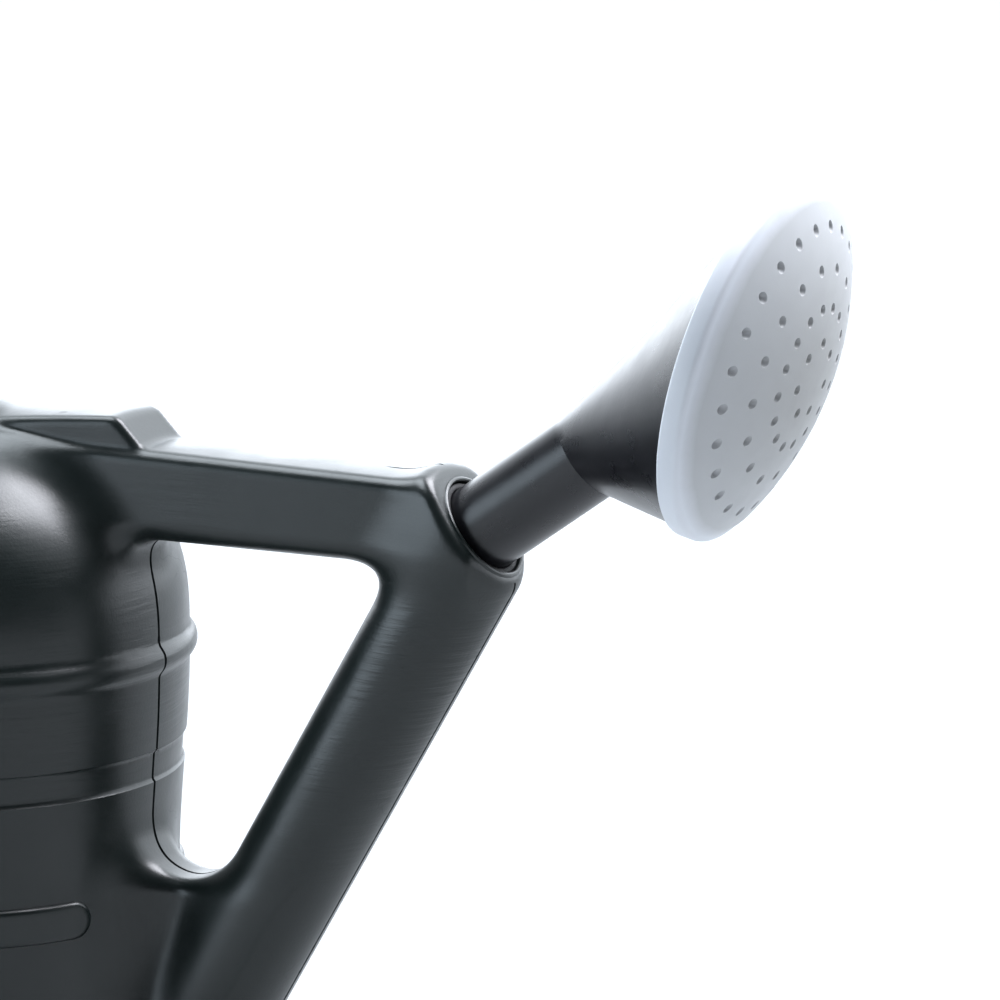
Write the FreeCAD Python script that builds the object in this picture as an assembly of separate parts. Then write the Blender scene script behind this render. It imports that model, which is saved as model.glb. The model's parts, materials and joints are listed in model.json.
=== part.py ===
import FreeCAD, Part
import math
import os
from FreeCAD import Vector

# Watering can, millimetres.
# Origin: centre of the base on the tank axis. +X runs to the spout, +Z is up, +Y is the can's left side.
# The can is one blow moulding. Its regions are separate nodes that meet face to face.

# ---- wall thicknesses -------------------------------------------------------------------------
can_wall = 2.0
rose_wall = 2.0
face_wall = 2.2

# ---- tank -------------------------------------------------------------------------------------
tank_radius = 90.0
waist_radius = 85.5
waist_bottom = 150.0
waist_top = 232.0
base_edge = 7.0
foot_ring_inner = 66.0
foot_ring_slope = 5.0
base_recess = 5.0
base_top = 14.0
wall_split = 165.0
shoulder_start = 248.0
dome_height = 77.0
dome_power = 2.35
dome_steps = 12

# ---- rib, recessed band and raised side panels ------------------------------------------------
rib_height = 240.0
rib_half_width = 5.5
rib_depth = 3.0
band_low = 192.6
band_high = 205.1
band_depth = 1.1
panel_low = 139.5
panel_high = 153.5
panel_depth = 1.3
panel_start_deg = 23.3

# ---- filler mouth -----------------------------------------------------------------------------
mouth_tilt_deg = 35.0
mouth_rear_height = 258.0
rim_depth = 7.0
rim_proud = 3.0

# ---- spout and the mouth that takes the rose --------------------------------------------------
spout_radius = 21.8
spout_angle_deg = 60.33
spout_top_x = 226.0
spout_top_z = 303.4
rose_angle_deg = 35.67
socket_depth = 16.0
socket_wall = 2.6
socket_step = 2.4
seal_seat_depth = 2.2

# ---- web that ties the spout root to the tank -------------------------------------------------
web_half_width = 15.0
web_top = 164.0

# ---- brace bar --------------------------------------------------------------------------------
bar_top = 323.8
bar_fall = 2.6
bar_shoulder_drop = 1.0
bar_side_drop = 6.0
bar_bottom = 288.8
bar_half_width = 18.5
bar_shoulder_half_width = 15.0
bar_bottom_round = 8.0

# ---- handle -----------------------------------------------------------------------------------
handle_width = 33.0
handle_depth = 31.0
handle_round = 11.0
handle_top = 332.5
handle_bend_radius = 62.0
handle_bend_x = -95.0
handle_foot_height = 104.0
block_back = 12.0
block_front_rise = 2.8
block_crest_front = 80.5
block_front = 93.0
block_edge_round = 3.0

# ---- seal -------------------------------------------------------------------------------------
seal_gap = 0.1
seal_width = 2.4
seal_height = 2.8

# ---- rose: neck, funnel and face --------------------------------------------------------------
neck_radius = 16.5
neck_clearance = 0.3
funnel_edge_clearance = 0.3
funnel_flare = 1.25
funnel_sections = 5
face_x = 332.7
face_z = 372.2
face_tilt_deg = 14.8
face_radius = 67.1
skirt_wall = 2.1
skirt_depth = 5.7
dome_sphere_radius = 126.0
dome_step = 2.9
dome_edge_margin = 1.6
lip_gap = 1.0
hole_radius = 1.2
hole_rings = [(53.0, 24, 7.5), (39.3, 16, 15.0), (25.8, 16, 15.0), (13.4, 7, 42.2)]

# ---- derived places ---------------------------------------------------------------------------
reach = 400.0
socket_radius = neck_radius + neck_clearance
spout_axis = Vector(math.cos(math.radians(spout_angle_deg)), 0, math.sin(math.radians(spout_angle_deg)))
rose_axis = Vector(math.cos(math.radians(rose_angle_deg)), 0, math.sin(math.radians(rose_angle_deg)))
spout_top = Vector(spout_top_x, 0, spout_top_z)
face_normal = Vector(math.cos(math.radians(face_tilt_deg)), 0, -math.sin(math.radians(face_tilt_deg)))
face_centre = Vector(face_x, 0, face_z)
face_up = Vector(math.sin(math.radians(face_tilt_deg)), 0, math.cos(math.radians(face_tilt_deg)))
lip_radius = face_radius - skirt_wall - funnel_edge_clearance
handle_axis_z = handle_top - handle_depth / 2


def turned_solid(points):
    """Revolve a closed (radius, height) outline about the tank axis."""
    outline = [Vector(r, 0, z) for r, z in points]
    face = Part.Face(Part.makePolygon(outline + outline[:1]))
    return face.revolve(Vector(0, 0, 0), Vector(0, 0, 1), 360)


def dome_curve(radius, height, start):
    """Upper quarter of a superellipse, from the shoulder to the summit."""
    points = []
    for step in range(dome_steps + 1):
        angle = math.pi / 2 * step / dome_steps
        r = radius * max(math.cos(angle), 0.0) ** (2 / dome_power)
        z = start + height * math.sin(angle) ** (2 / dome_power)
        points.append(Vector(r, 0, z))
    points[-1] = Vector(0, 0, start + height)
    curve = Part.BSplineCurve()
    curve.interpolate(points)
    return curve.toShape()


def wall_radius(height):
    """Outer radius of the tank wall, which widens from the waist up to the rib."""
    share = min(max((height - waist_bottom) / (waist_top - waist_bottom), 0), 1)
    return waist_radius + (tank_radius - waist_radius) * share


def domed_tank(grow, bottom):
    """Tank volume with its surface moved outwards by grow, closed at the height bottom."""
    radius = tank_radius + grow
    height = dome_height + grow
    corners = [
        Vector(0, 0, shoulder_start + height),
        Vector(0, 0, bottom),
        Vector(waist_radius + grow, 0, bottom),
        Vector(waist_radius + grow, 0, waist_bottom),
        Vector(radius, 0, waist_top),
        Vector(radius, 0, shoulder_start),
    ]
    sides = [Part.makeLine(a, b) for a, b in zip(corners, corners[1:])]
    face = Part.Face(Part.Wire(sides + [dome_curve(radius, height, shoulder_start)]))
    return face.revolve(Vector(0, 0, 0), Vector(0, 0, 1), 360)


def slab(point, normal, thickness):
    """Wide plate whose top face passes through point, lying thickness deep against normal."""
    plate = Part.makeBox(2 * reach, 2 * reach, thickness, Vector(-reach, -reach, -thickness))
    plate.Placement = FreeCAD.Placement(point, FreeCAD.Rotation(Vector(0, 0, 1), normal))
    return plate


def level_slab(low, high):
    return Part.makeBox(2 * reach, 2 * reach, high - low, Vector(-reach, -reach, low))


def rod(start, end, radius):
    return Part.makeCylinder(radius, (end - start).Length, start, end - start)


def mouth_normal():
    tilt = math.radians(mouth_tilt_deg)
    return Vector(-math.sin(tilt), 0, math.cos(tilt))


def mouth_point():
    return Vector(-tank_radius, 0, mouth_rear_height)


def above_mouth():
    return slab(mouth_point() + mouth_normal() * reach, mouth_normal(), reach)


def tank_base():
    """Floor with a raised middle, so the can stands on a foot ring."""
    floor_top = base_recess + can_wall
    inner_radius = waist_radius - can_wall
    return turned_solid([
        (0, base_recess),
        (foot_ring_inner, base_recess),
        (foot_ring_inner + foot_ring_slope, 0),
        (waist_radius - base_edge, 0),
        (waist_radius - base_edge / 3, base_edge / 3),
        (waist_radius, base_edge),
        (waist_radius, base_top),
        (inner_radius, base_top),
        (inner_radius, base_edge),
        (waist_radius - base_edge, can_wall),
        (foot_ring_inner + foot_ring_slope, can_wall),
        (foot_ring_inner, floor_top),
        (0, floor_top),
    ])


def rib():
    """Rounded bead around the tank, flush with the tank's inner volume."""
    return turned_solid([
        (tank_radius - can_wall, rib_height - rib_half_width),
        (tank_radius, rib_height - rib_half_width),
        (tank_radius + rib_depth * 0.75, rib_height - rib_half_width / 2),
        (tank_radius + rib_depth, rib_height),
        (tank_radius + rib_depth * 0.75, rib_height + rib_half_width / 2),
        (tank_radius, rib_height + rib_half_width),
        (tank_radius - can_wall, rib_height + rib_half_width),
    ])


def band_cutter():
    """Ring that sinks the recessed band into the tank wall, with sloping edges."""
    low = band_low + band_depth
    high = band_high - band_depth
    clear = tank_radius + rib_depth
    return turned_solid([
        (wall_radius(low) - band_depth, low),
        (wall_radius(high) - band_depth, high),
        (wall_radius(band_high), band_high),
        (clear, band_high),
        (clear, band_low),
        (wall_radius(band_low), band_low),
    ])


def side_panels():
    """Raised label-sized strips on both flanks with rounded ends."""
    middle = (panel_low + panel_high) / 2
    half = (panel_high - panel_low) / 2
    ring = turned_solid([
        (waist_radius - can_wall / 2, panel_low),
        (waist_radius + panel_depth, panel_low),
        (waist_radius + panel_depth, panel_high),
        (waist_radius - can_wall / 2, panel_high),
    ])
    half_length = waist_radius * math.cos(math.radians(panel_start_deg))
    straight = half_length - half
    strip = Part.makeBox(2 * straight, 2 * reach, panel_high - panel_low,
                         Vector(-straight, -reach, panel_low))
    for side in (-1, 1):
        end = Part.makeCylinder(half, 2 * reach, Vector(side * straight, -reach, middle), Vector(0, 1, 0))
        strip = strip.fuse(end)
    return ring.common(strip)


def spout_rod(radius):
    """Spout volume from inside the tank to well past the mouth."""
    root = spout_top - spout_axis * ((spout_top_z - base_recess) / spout_axis.z)
    return rod(root, spout_top + spout_axis * spout_radius * 2, radius)


def before_rose(depth):
    """Half space behind the spout mouth, starting depth inside it."""
    return slab(spout_top - rose_axis * depth, rose_axis, reach * 2)


def web_volume(inset):
    """Flat web under the loop, between the tank and the spout's axis."""
    half = web_half_width - inset
    slope = math.tan(math.radians(spout_angle_deg))
    start_x = waist_radius - can_wall * 2
    start_z = spout_top_z - (spout_top_x - start_x) * slope
    end_x = spout_top_x - (spout_top_z - web_top + inset) / slope
    outline = [
        Vector(start_x, -half, start_z),
        Vector(end_x, -half, web_top - inset),
        Vector(start_x, -half, web_top - inset),
    ]
    face = Part.Face(Part.makePolygon(outline + outline[:1]))
    return face.extrude(Vector(0, 2 * half, 0))


def bar_volume(inset, back, front):
    """Brace bar: nearly flat top that falls towards the spout, upright sides, rounded bottom edges."""
    half = bar_half_width - inset
    shoulder = bar_shoulder_half_width - inset
    round_size = bar_bottom_round - inset
    low = bar_bottom + inset
    sections = []
    for x in (back, front):
        top = bar_top - inset - bar_fall * (x - block_front) / (spout_top_x - block_front)
        outline = [
            Vector(x, 0, top),
            Vector(x, shoulder, top - bar_shoulder_drop),
            Vector(x, half, top - bar_side_drop),
            Vector(x, half, low + round_size),
            Vector(x, half - round_size, low),
            Vector(x, -(half - round_size), low),
            Vector(x, -half, low + round_size),
            Vector(x, -half, top - bar_side_drop),
            Vector(x, -shoulder, top - bar_shoulder_drop),
        ]
        sections.append(Part.makePolygon(outline + outline[:1]))
    return Part.makeLoft(sections, True, True)


def block_volume(inset):
    """Raised step at the front end of the grip, with a sloping nose."""
    half = handle_width / 2 - inset
    low = bar_top - bar_side_drop
    front_foot = block_front - inset * 2
    crest_front = block_crest_front - inset
    outline = [
        Vector(block_back, -half, low),
        Vector(front_foot, -half, low),
        Vector(front_foot, -half, bar_top - inset),
        Vector(crest_front, -half, handle_top + block_front_rise - inset),
        Vector(block_back, -half, handle_top - inset),
    ]
    face = Part.Face(Part.makePolygon(outline + outline[:1]))
    block = face.extrude(Vector(0, 2 * half, 0))
    if inset:
        return block
    crest = [edge for edge in block.Edges
             if edge.BoundBox.ZMin > bar_top - 1 and edge.BoundBox.YLength < 1 and edge.BoundBox.XLength > 5]
    return block.makeFillet(block_edge_round, crest)


def handle_path():
    """Centre line of the handle: level grip, one bend, straight rear leg down to the tank."""
    grip_start = Vector(block_back, 0, handle_axis_z)
    bend_start = Vector(handle_bend_x, 0, handle_axis_z)
    centre = bend_start - Vector(0, 0, handle_bend_radius)
    foot = Vector(-(waist_radius - can_wall), 0, handle_foot_height)
    to_foot = foot - centre
    tangent_angle = math.acos(handle_bend_radius / to_foot.Length)
    foot_angle = math.atan2(to_foot.z, to_foot.x)
    end_angle = foot_angle - tangent_angle
    mid_angle = (math.pi / 2 + (end_angle % (2 * math.pi))) / 2
    bend_end = centre + Vector(math.cos(end_angle), 0, math.sin(end_angle)) * handle_bend_radius
    bend_mid = centre + Vector(math.cos(mid_angle), 0, math.sin(mid_angle)) * handle_bend_radius
    leg = (foot - bend_end).normalize()
    return grip_start, bend_start, bend_mid, bend_end, foot + leg * can_wall


def handle_volume(inset):
    """Handle tube with a rounded rectangular section swept along its centre line."""
    grip_start, bend_start, bend_mid, bend_end, foot = handle_path()
    path = Part.Wire([
        Part.makeLine(grip_start, bend_start),
        Part.Arc(bend_start, bend_mid, bend_end).toShape(),
        Part.makeLine(bend_end, foot),
    ])
    width = handle_width - 2 * inset
    depth = handle_depth - 2 * inset
    box = Part.makeBox(1, width, depth, Vector(grip_start.x, -width / 2, handle_axis_z - depth / 2))
    section = box.makeFillet(handle_round - inset, [e for e in box.Edges if e.BoundBox.XLength > 0.5])
    face = [f for f in section.Faces if f.BoundBox.XLength < 0.01 and f.BoundBox.XMin < grip_start.x + 0.5][0]
    return path.makePipeShell([face.OuterWire], True, True)


def handle_floor():
    """Wall that closes the grip's hollow where the grip crosses the filler mouth."""
    zone = slab(mouth_point() + mouth_normal() * can_wall, mouth_normal(), reach)
    return zone.common(level_slab(handle_top - handle_depth, 2 * reach))


def socket_volume(radius, depth):
    return rod(spout_top - rose_axis * depth, spout_top + rose_axis * spout_radius * 2, radius)


def can_cavity():
    """Everything inside the one-piece can: tank, spout, web, brace bar and handle in one hollow."""
    tank_inside = domed_tank(-can_wall, base_recess).cut(above_mouth())
    spout_stop = socket_depth + socket_step
    spout_inside = spout_rod(spout_radius - can_wall).common(before_rose(spout_stop))
    spout_inside = spout_inside.cut(level_slab(-reach, base_top + can_wall))
    socket_guard = socket_volume(socket_radius + socket_wall, spout_stop + can_wall)
    bar_inside = bar_volume(can_wall, tank_radius / 2, spout_top_x - spout_radius).cut(socket_guard)
    hollow = tank_inside.cut(tank_base())
    handle_inside = handle_volume(can_wall).cut(handle_floor())
    for piece in (spout_inside, web_volume(can_wall), bar_inside, block_volume(can_wall), handle_inside):
        hollow = hollow.fuse(piece)
    return hollow


def face_placement():
    return FreeCAD.Placement(face_centre, FreeCAD.Rotation(Vector(0, 0, 1), face_normal))


def ring_disc(outer, inner, low, high):
    """Flat ring in the face's own frame, where height runs along the face normal."""
    disc = Part.makeCylinder(outer, high - low, Vector(0, 0, low))
    if inner > 0:
        disc = disc.cut(Part.makeCylinder(inner, high - low, Vector(0, 0, low)))
    return disc


def rose_face():
    """Domed, drilled face plate with a skirt that snaps over the funnel's edge."""
    rim_flat = face_radius - dome_edge_margin
    sphere_drop = math.sqrt(dome_sphere_radius ** 2 - rim_flat ** 2)
    centre_height = dome_step - sphere_drop
    outer_ball = Part.makeSphere(dome_sphere_radius, Vector(0, 0, centre_height))
    inner_ball = Part.makeSphere(dome_sphere_radius - face_wall, Vector(0, 0, centre_height))
    tall = dome_sphere_radius
    outer_cap = outer_ball.common(Part.makeCylinder(rim_flat, tall))
    inner_cap = inner_ball.common(Part.makeCylinder(face_radius - skirt_wall, tall))
    skirt = ring_disc(face_radius, face_radius - skirt_wall, -skirt_depth, dome_step - dome_edge_margin)
    plate = outer_cap.cut(inner_cap).fuse(skirt)
    holes = []
    for ring_radius, count, first_deg in hole_rings:
        for index in range(count):
            angle = math.radians(first_deg + 360 * index / count)
            spot = Vector(-ring_radius * math.sin(angle), -ring_radius * math.cos(angle), 0)
            holes.append(Part.makeCylinder(hole_radius, tall, spot))
    plate = plate.cut(Part.makeCompound(holes))
    plate.Placement = face_placement()
    return plate


def neck_end():
    """End of the neck, where its underside meets the line of the funnel's lowest edge."""
    rose_down = Vector(rose_axis.z, 0, -rose_axis.x)
    underside = spout_top + rose_down * neck_radius - face_centre
    length = -(lip_radius + underside.dot(face_up)) / rose_axis.dot(face_up)
    return spout_top + rose_axis * length


def section_circle(centre, normal, radius):
    circle = Part.Circle(centre, normal, radius)
    circle.XAxis = Vector(0, 1, 0)
    return Part.Wire([circle.toShape()])


def funnel_loft(inset):
    """Oblique trumpet from the end of the neck to the back of the face plate."""
    start = neck_end()
    end = face_centre - face_normal * skirt_depth
    start_angle = math.radians(rose_angle_deg)
    end_angle = -math.radians(face_tilt_deg)
    wires = []
    for step in range(funnel_sections):
        share = step / (funnel_sections - 1)
        angle = start_angle + (end_angle - start_angle) * share
        normal = Vector(math.cos(angle), 0, math.sin(angle))
        centre = start + (end - start) * share
        radius = neck_radius - inset + (lip_radius - neck_radius) * share ** funnel_flare
        wires.append(section_circle(centre, normal, radius))
    return Part.makeLoft(wires, True, False)


def rose_funnel():
    """Black funnel with a short cylindrical lip that sits inside the skirt of the face."""
    outer = funnel_loft(0)
    lip = ring_disc(lip_radius, 0, -skirt_depth - 0.5, -lip_gap)
    lip.Placement = face_placement()
    inner = funnel_loft(rose_wall)
    bore = ring_disc(lip_radius - rose_wall, 0, -skirt_depth - 0.5, lip_gap)
    bore.Placement = face_placement()
    return outer.fuse(lip).cut(inner).cut(bore)


def rose_neck():
    start = spout_top - rose_axis * (socket_depth - neck_clearance)
    end = neck_end()
    return rod(start, end, neck_radius).cut(rod(start, end, neck_radius - rose_wall))


def neck_seal():
    """Rubber ring around the neck, seated in the spout mouth."""
    start = spout_top - rose_axis * seal_seat_depth
    end = start + rose_axis * seal_height
    inner = neck_radius + seal_gap
    return rod(start, end, inner + seal_width).cut(rod(start, end, inner))


def single(shape, name):
    """The one solid of a shape, with crumbs from cutting dropped."""
    solids = sorted(shape.Solids, key=lambda s: -s.Volume)
    main = solids[0]
    for extra in solids[1:]:
        if extra.Volume > main.Volume * 0.02:
            raise ValueError(name + " falls into separate solids")
    return main.removeSplitter()


def build():
    hollow = can_cavity()
    mouth_air = above_mouth()
    seal_seat = socket_volume(neck_radius + seal_gap + seal_width + neck_clearance, seal_seat_depth)
    socket = socket_volume(socket_radius, socket_depth)
    throat = socket_volume(socket_radius - socket_step, socket_depth + 3 * socket_step)
    tank = domed_tank(0, base_top)
    rim_block = domed_tank(rim_proud, base_top).cut(mouth_air)
    rim_zone = slab(mouth_point(), mouth_normal(), rim_depth)
    rim_block = rim_block.common(rim_zone)
    tank_open = tank.cut(mouth_air).cut(rim_zone)

    walls = tank_open.cut(band_cutter()).fuse(rib()).fuse(side_panels()).cut(hollow)
    spout_all = spout_rod(spout_radius).common(before_rose(0)).cut(tank).cut(level_slab(-reach, base_top))
    mouth_zone = socket_depth + socket_step + can_wall
    boss = socket_volume(socket_radius + socket_wall, mouth_zone).common(before_rose(0))
    spout_end = spout_all.cut(before_rose(mouth_zone)).fuse(boss)
    spout_tube_outer = spout_all.common(before_rose(mouth_zone)).cut(boss)
    web_outer = web_volume(0).cut(tank).cut(spout_all)
    bar_outer = bar_volume(0, tank_radius / 3, spout_top_x).common(before_rose(0))
    bar_outer = bar_outer.cut(tank).cut(spout_all).cut(boss).cut(rim_block)
    block_outer = block_volume(0).cut(tank).cut(bar_outer).cut(rim_block)
    handle_outer = handle_volume(0).cut(tank_open).cut(rim_block)

    grip_end = Vector(handle_bend_x, 0, handle_axis_z)
    grip_zone = level_slab(handle_axis_z - handle_bend_radius, 2 * reach)
    grip_zone = grip_zone.cut(slab(grip_end, Vector(1, 0, 0), reach))

    return {
        "tank_base": tank_base(),
        "tank_wall_lower": walls.common(level_slab(base_top, wall_split)),
        "tank_wall_upper": walls.common(level_slab(wall_split, shoulder_start)),
        "tank_shoulder": walls.common(level_slab(shoulder_start, 2 * reach)),
        "filler_rim": rim_block.cut(hollow),
        "spout_tube": spout_tube_outer.cut(hollow).cut(throat),
        "spout_mouth": spout_end.cut(hollow).cut(socket).cut(throat).cut(seal_seat),
        "spout_web": web_outer.cut(hollow),
        "brace_bar": bar_outer.cut(hollow),
        "handle_block": block_outer.cut(hollow),
        "handle_grip": handle_outer.common(grip_zone).cut(hollow),
        "handle_leg": handle_outer.cut(grip_zone).cut(hollow),
        "neck_seal": neck_seal(),
        "rose_neck": rose_neck(),
        "rose_funnel": rose_funnel(),
        "rose_face": rose_face(),
    }


os.makedirs("parts", exist_ok=True)
for node, shape in build().items():
    solid = single(shape, node)
    if not solid.isValid():
        raise ValueError(node + " is not a valid solid")
    solid.exportStep("parts/" + node + ".step")
    print(node, round(solid.Volume / 1000, 2), "cm3")
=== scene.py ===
import json
import math

import bmesh
import bpy
import numpy as np
import openvdb
from mathutils import Matrix, Vector


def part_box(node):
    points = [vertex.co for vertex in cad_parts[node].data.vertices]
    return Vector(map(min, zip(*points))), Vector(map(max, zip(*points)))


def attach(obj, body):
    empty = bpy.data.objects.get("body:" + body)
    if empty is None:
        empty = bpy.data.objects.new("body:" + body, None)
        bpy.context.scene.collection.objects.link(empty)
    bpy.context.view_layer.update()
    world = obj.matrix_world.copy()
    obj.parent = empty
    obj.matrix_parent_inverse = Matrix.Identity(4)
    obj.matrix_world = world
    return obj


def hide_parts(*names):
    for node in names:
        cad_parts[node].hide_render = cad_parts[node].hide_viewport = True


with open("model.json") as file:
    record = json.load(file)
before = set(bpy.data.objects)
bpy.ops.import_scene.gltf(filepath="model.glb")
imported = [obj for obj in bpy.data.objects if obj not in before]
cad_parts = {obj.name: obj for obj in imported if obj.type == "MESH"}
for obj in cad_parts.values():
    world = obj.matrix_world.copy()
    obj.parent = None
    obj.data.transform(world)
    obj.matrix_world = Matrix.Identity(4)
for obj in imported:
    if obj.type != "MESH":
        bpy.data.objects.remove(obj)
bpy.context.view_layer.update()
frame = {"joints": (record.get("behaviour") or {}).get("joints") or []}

# Shapes below are worked out in millimetres in the frame's axes and turned into metres when a mesh is made.
MM = 0.001

# ---- places and sizes read from the frame ------------------------------------------------------
joints = {joint["name"]: joint for joint in frame["joints"]}


def unit(values):
    array = np.array(values, float)
    return array / np.linalg.norm(array)


def node_low(node):
    return np.array(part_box(node)[0]) / MM


def node_high(node):
    return np.array(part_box(node)[1]) / MM


MOUTH = np.array(joints["rose_turn"]["pos_m"], float) / MM
ROSE_AXIS = unit(joints["rose_turn"]["axis"])
FACE_AXIS = unit(joints["face_snap"]["axis"])
TANK_RADIUS = node_high("tank_shoulder")[1]
WAIST_RADIUS = node_high("tank_base")[1]
SPOUT_RADIUS = node_high("spout_tube")[1]
BAR_HALF_WIDTH = node_high("brace_bar")[1]
BAR_BOTTOM = node_low("brace_bar")[2]
BAR_TOP = node_high("brace_bar")[2]
GRIP_LOW = node_low("handle_grip")[2]
GRIP_HIGH = node_high("handle_grip")[2]
GRIP_HALF_WIDTH = node_high("handle_grip")[1]
BEND_X = node_low("handle_grip")[0]
HANDLE_BACK = node_low("handle_leg")[0]
BLOCK_BACK = node_low("handle_block")[0]
BLOCK_HIGH = node_high("handle_block")[2]
BLOCK_FRONT = node_high("handle_block")[0]
FACE_RADIUS = node_high("rose_face")[1]
NECK_RADIUS = node_high("rose_neck")[1]

# ---- the can's own sizes -----------------------------------------------------------------------
WALL = 2.0
SHOULDER_START = 248.0
DOME_HEIGHT = 77.0
DOME_POWER = 2.35
BASE_ROUND = 6.0
WAIST_BOTTOM = 150.0
WAIST_TOP = 236.0
RECESS_RADIUS = 71.0
RECESS_DEPTH = 5.0
RIB_HEIGHT = 240.0
RIB_PROUD = 2.98
RIB_ROUND = 6.5
BAND_LOW = 192.6
BAND_HIGH = 205.1
BAND_DEPTH = 1.1
PANEL_LOW = 139.5
PANEL_HIGH = 153.5
PANEL_PROUD = 1.9
PANEL_START = math.radians(23.3)
MOUTH_TILT = math.radians(35.0)
MOUTH_REAR_Z = 258.0
RIM_BEAD = 3.5
SPOUT_ANGLE = math.radians(60.33)
SOCKET_DEPTH = 16.0
SEAT_RADIUS = 19.3
WEB_HALF_WIDTH = 13.0
WEB_TOP = 158.5
BAR_FALL = 0.020
BAR_CROWN = 260.0
BAR_EDGE_ROUND = 4.5
BAR_BOTTOM_ROUND = 8.0
BAR_END = 4.0
BLOCK_HALF_WIDTH = 16.3
BLOCK_CREST = 12.5
BLOCK_SINK = 12.0
BLOCK_OVERLAP = 8.0
BLOCK_NOSE_SINK = 1.5
BLOCK_NOSE_ROUND = 2.5
BLOCK_EDGE_ROUND = 2.6
HANDLE_ROUND = 11.0
HANDLE_FOOT_Z = 104.0
WEB_ROUND = 5.0
SPOUT_AXIS = np.array([math.cos(SPOUT_ANGLE), 0.0, math.sin(SPOUT_ANGLE)])
FILLER_NORMAL = np.array([-math.sin(MOUTH_TILT), 0.0, math.cos(MOUTH_TILT)])
FILLER_POINT = np.array([-TANK_RADIUS, 0.0, MOUTH_REAR_Z])

# ---- how far each pair of shapes flows together ------------------------------------------------
RIB_BLEND = 1.6
WEB_BLEND = 14.0
SPOUT_BLEND = 24.0
BAR_BLEND = 18.0
BLOCK_BLEND = 1.6
HANDLE_BLEND = 9.0
MOUTH_BLEND = 5.0
OPENING_BLEND = 1.2

# ---- mesh resolution and parting line ----------------------------------------------------------
VOXEL = 1.5
PARTING_HALF_WIDTH = 0.5
PARTING_DEPTH = 1.6
PARTING_TOP = 40.0
PARTING_FADE = 14.0
CUT_SNAP = 0.02


# ---- signed distance helpers, all in millimetres -----------------------------------------------
def blend_min(a, b, k):
    h = np.clip(0.5 + 0.5 * (b - a) / k, 0.0, 1.0)
    return b * (1 - h) + a * h - k * h * (1 - h)


def blend_max(a, b, k):
    return -blend_min(-a, -b, k)


def corner(a, b, radius):
    """Intersection of two half spaces with a rounded edge."""
    qa = a + radius
    qb = b + radius
    outside = np.hypot(np.maximum(qa, 0), np.maximum(qb, 0))
    return outside + np.minimum(np.maximum(qa, qb), 0) - radius


def along(p, point, direction):
    """Signed distance from a plane, positive on the side that the direction points to."""
    return sum((p[i] - point[i]) * direction[i] for i in range(3))


def from_axis(p, point, direction):
    """Distance from a line that lies in the plane y = 0."""
    side = (p[0] - point[0]) * direction[2] - (p[2] - point[2]) * direction[0]
    return np.hypot(side, p[1])


def tank_distance(p, fine):
    x, y, z = p
    r = np.hypot(x, y)
    share = np.clip((z - WAIST_BOTTOM) / (WAIST_TOP - WAIST_BOTTOM), 0, 1)
    radius = WAIST_RADIUS + (TANK_RADIUS - WAIST_RADIUS) * share * share * (3 - 2 * share)
    if fine:
        middle = (BAND_LOW + BAND_HIGH) / 2
        half = (BAND_HIGH - BAND_LOW) / 2
        radius = radius - np.clip(half - np.abs(z - middle), 0, BAND_DEPTH)
    a = r / radius
    b = np.maximum(z - SHOULDER_START, 0) / DOME_HEIGHT
    f = np.maximum((a ** DOME_POWER + b ** DOME_POWER) ** (1 / DOME_POWER), 1e-4)
    slope_r = (a / f) ** (DOME_POWER - 1) / radius
    slope_z = (b / f) ** (DOME_POWER - 1) / DOME_HEIGHT
    return (f - 1) / np.maximum(np.hypot(slope_r, slope_z), 1e-4)


def tank_solid(p, fine):
    """Tank with its foot ring and rib, the filler mouth still closed."""
    x, y, z = p
    r = np.hypot(x, y)
    d = tank_distance(p, fine)
    d = corner(d, -z, BASE_ROUND)
    recess = blend_max((r - RECESS_RADIUS + z) * 0.707, z - RECESS_DEPTH, 3.0)
    d = blend_max(d, -recess, 3.0)
    rib = np.hypot(r - (TANK_RADIUS + RIB_PROUD - RIB_ROUND), z - RIB_HEIGHT) - RIB_ROUND
    return blend_min(d, rib, RIB_BLEND)


def spout_distance(p):
    return from_axis(p, MOUTH, SPOUT_AXIS) - SPOUT_RADIUS


def beyond_spout_axis(p):
    return (p[0] - MOUTH[0]) * SPOUT_AXIS[2] - (p[2] - MOUTH[2]) * SPOUT_AXIS[0]


def bar_distance(p):
    """Brace bar: nearly flat top that falls towards the spout, tight upper edges, rounder lower ones."""
    x, y, z = p
    top = z - (BAR_TOP - (x - BLOCK_FRONT) * BAR_FALL) + y * y / BAR_CROWN
    d = corner(y - BAR_HALF_WIDTH, BAR_BOTTOM - z, BAR_BOTTOM_ROUND)
    end = beyond_spout_axis(p) - BAR_END
    d = corner(d, top, BAR_EDGE_ROUND)
    return np.maximum(np.maximum(d, BLOCK_BACK + BAR_END - x), end)


def block_distance(p):
    """Raised step at the grip's front end: its top flattens out towards a steep nose."""
    x, y, z = p
    crest_x = BLOCK_FRONT - BLOCK_CREST
    foot = BAR_TOP - BLOCK_NOSE_SINK
    share = np.clip((x - BLOCK_BACK) / (crest_x - BLOCK_BACK), 0, 1)
    ridge = GRIP_HIGH + (BLOCK_HIGH - GRIP_HIGH) * share
    top = z - ridge + y * y / (40.0 * 10.0 ** share)
    nose_slope = math.atan2(BLOCK_HIGH - foot, BLOCK_CREST)
    nose = (x - BLOCK_FRONT) * math.sin(nose_slope) + (z - foot) * math.cos(nose_slope)
    d = blend_max(top, nose, BLOCK_NOSE_ROUND)
    d = corner(y - BLOCK_HALF_WIDTH, d, BLOCK_EDGE_ROUND)
    return np.maximum(np.maximum(d, BAR_TOP - BLOCK_SINK - z), BLOCK_BACK - BLOCK_OVERLAP - x)


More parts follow.
